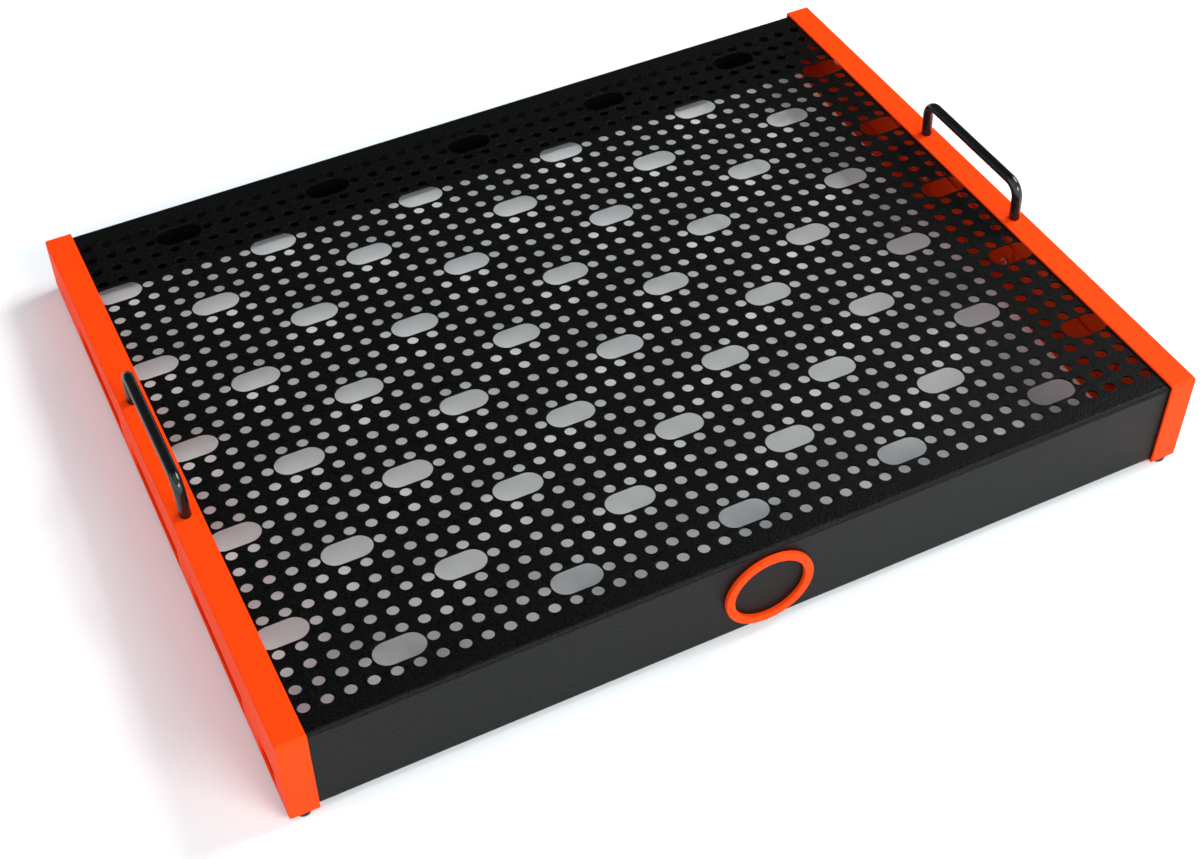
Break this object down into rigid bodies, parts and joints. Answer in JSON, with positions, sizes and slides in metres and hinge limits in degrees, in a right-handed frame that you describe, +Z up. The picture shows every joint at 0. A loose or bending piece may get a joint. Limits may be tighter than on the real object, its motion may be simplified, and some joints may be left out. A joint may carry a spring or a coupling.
{
  "type": "pedalboard",
  "caption": "low sloping pedalboard: punched and slotted black steel deck folded down front and rear, held between two orange end brackets with bridge handles and rubber feet",
  "frame": {"origin": "on the floor, under the middle of the board", "axes": "+X to the player's right along the badge side, +Y away from the badge towards the low rear edge, +Z up; the badge is on the -Y face"},
  "size_m": [0.5334, 0.4211, 0.0826],
  "materials": {
    "deck_black": "black fine-textured powder coat",
    "bracket_orange": "orange satin powder coat",
    "handle_black": "gloss black coating on steel rod",
    "zinc_steel": "bright zinc plate",
    "rubber": "matt black rubber"
  },
  "bodies": {
    "root": {"badge": "bracket_orange", "badge_push_nut_left": "zinc_steel", "badge_push_nut_right": "zinc_steel", "bay_nut_left_1_front": "zinc_steel", "bay_nut_left_1_rear": "zinc_steel", "bay_nut_left_2_front": "zinc_steel", "bay_nut_left_2_rear": "zinc_steel", "bay_nut_left_3_front": "zinc_steel", "bay_nut_left_3_rear": "zinc_steel", "bay_nut_left_4_front": "zinc_steel", "bay_nut_left_4_rear": "zinc_steel", "bay_nut_right_1_front": "zinc_steel", "bay_nut_right_1_rear": "zinc_steel", "bay_nut_right_2_front": "zinc_steel", "bay_nut_right_2_rear": "zinc_steel", "bay_nut_right_3_front": "zinc_steel", "bay_nut_right_3_rear": "zinc_steel", "bay_nut_right_4_front": "zinc_steel", "bay_nut_right_4_rear": "zinc_steel", "bay_plate_left_1": "bracket_orange", "bay_plate_left_2": "bracket_orange", "bay_plate_left_3": "bracket_orange", "bay_plate_left_4": "bracket_orange", "bay_plate_right_1": "bracket_orange", "bay_plate_right_2": "bracket_orange", "bay_plate_right_3": "bracket_orange", "bay_plate_right_4": "bracket_orange", "deck_nut_left_1": "zinc_steel", "deck_nut_left_2": "zinc_steel", "deck_nut_left_3": "zinc_steel", "deck_nut_left_4": "zinc_steel", "deck_nut_right_1": "zinc_steel", "deck_nut_right_2": "zinc_steel", "deck_nut_right_3": "zinc_steel", "deck_nut_right_4": "zinc_steel", "deck_panel": "deck_black", "foot_left_front": "rubber", "foot_left_rear": "rubber", "foot_right_front": "rubber", "foot_right_rear": "rubber", "handle_screw_left_front": "zinc_steel", "handle_screw_left_rear": "zinc_steel", "handle_screw_right_front": "zinc_steel", "handle_screw_right_rear": "zinc_steel", "handle_washer_left_front": "zinc_steel", "handle_washer_left_rear": "zinc_steel", "handle_washer_right_front": "zinc_steel", "handle_washer_right_rear": "zinc_steel", "left_bracket": "bracket_orange", "left_handle": "handle_black", "right_bracket": "bracket_orange", "right_handle": "handle_black"}
  },
  "joints": []
}
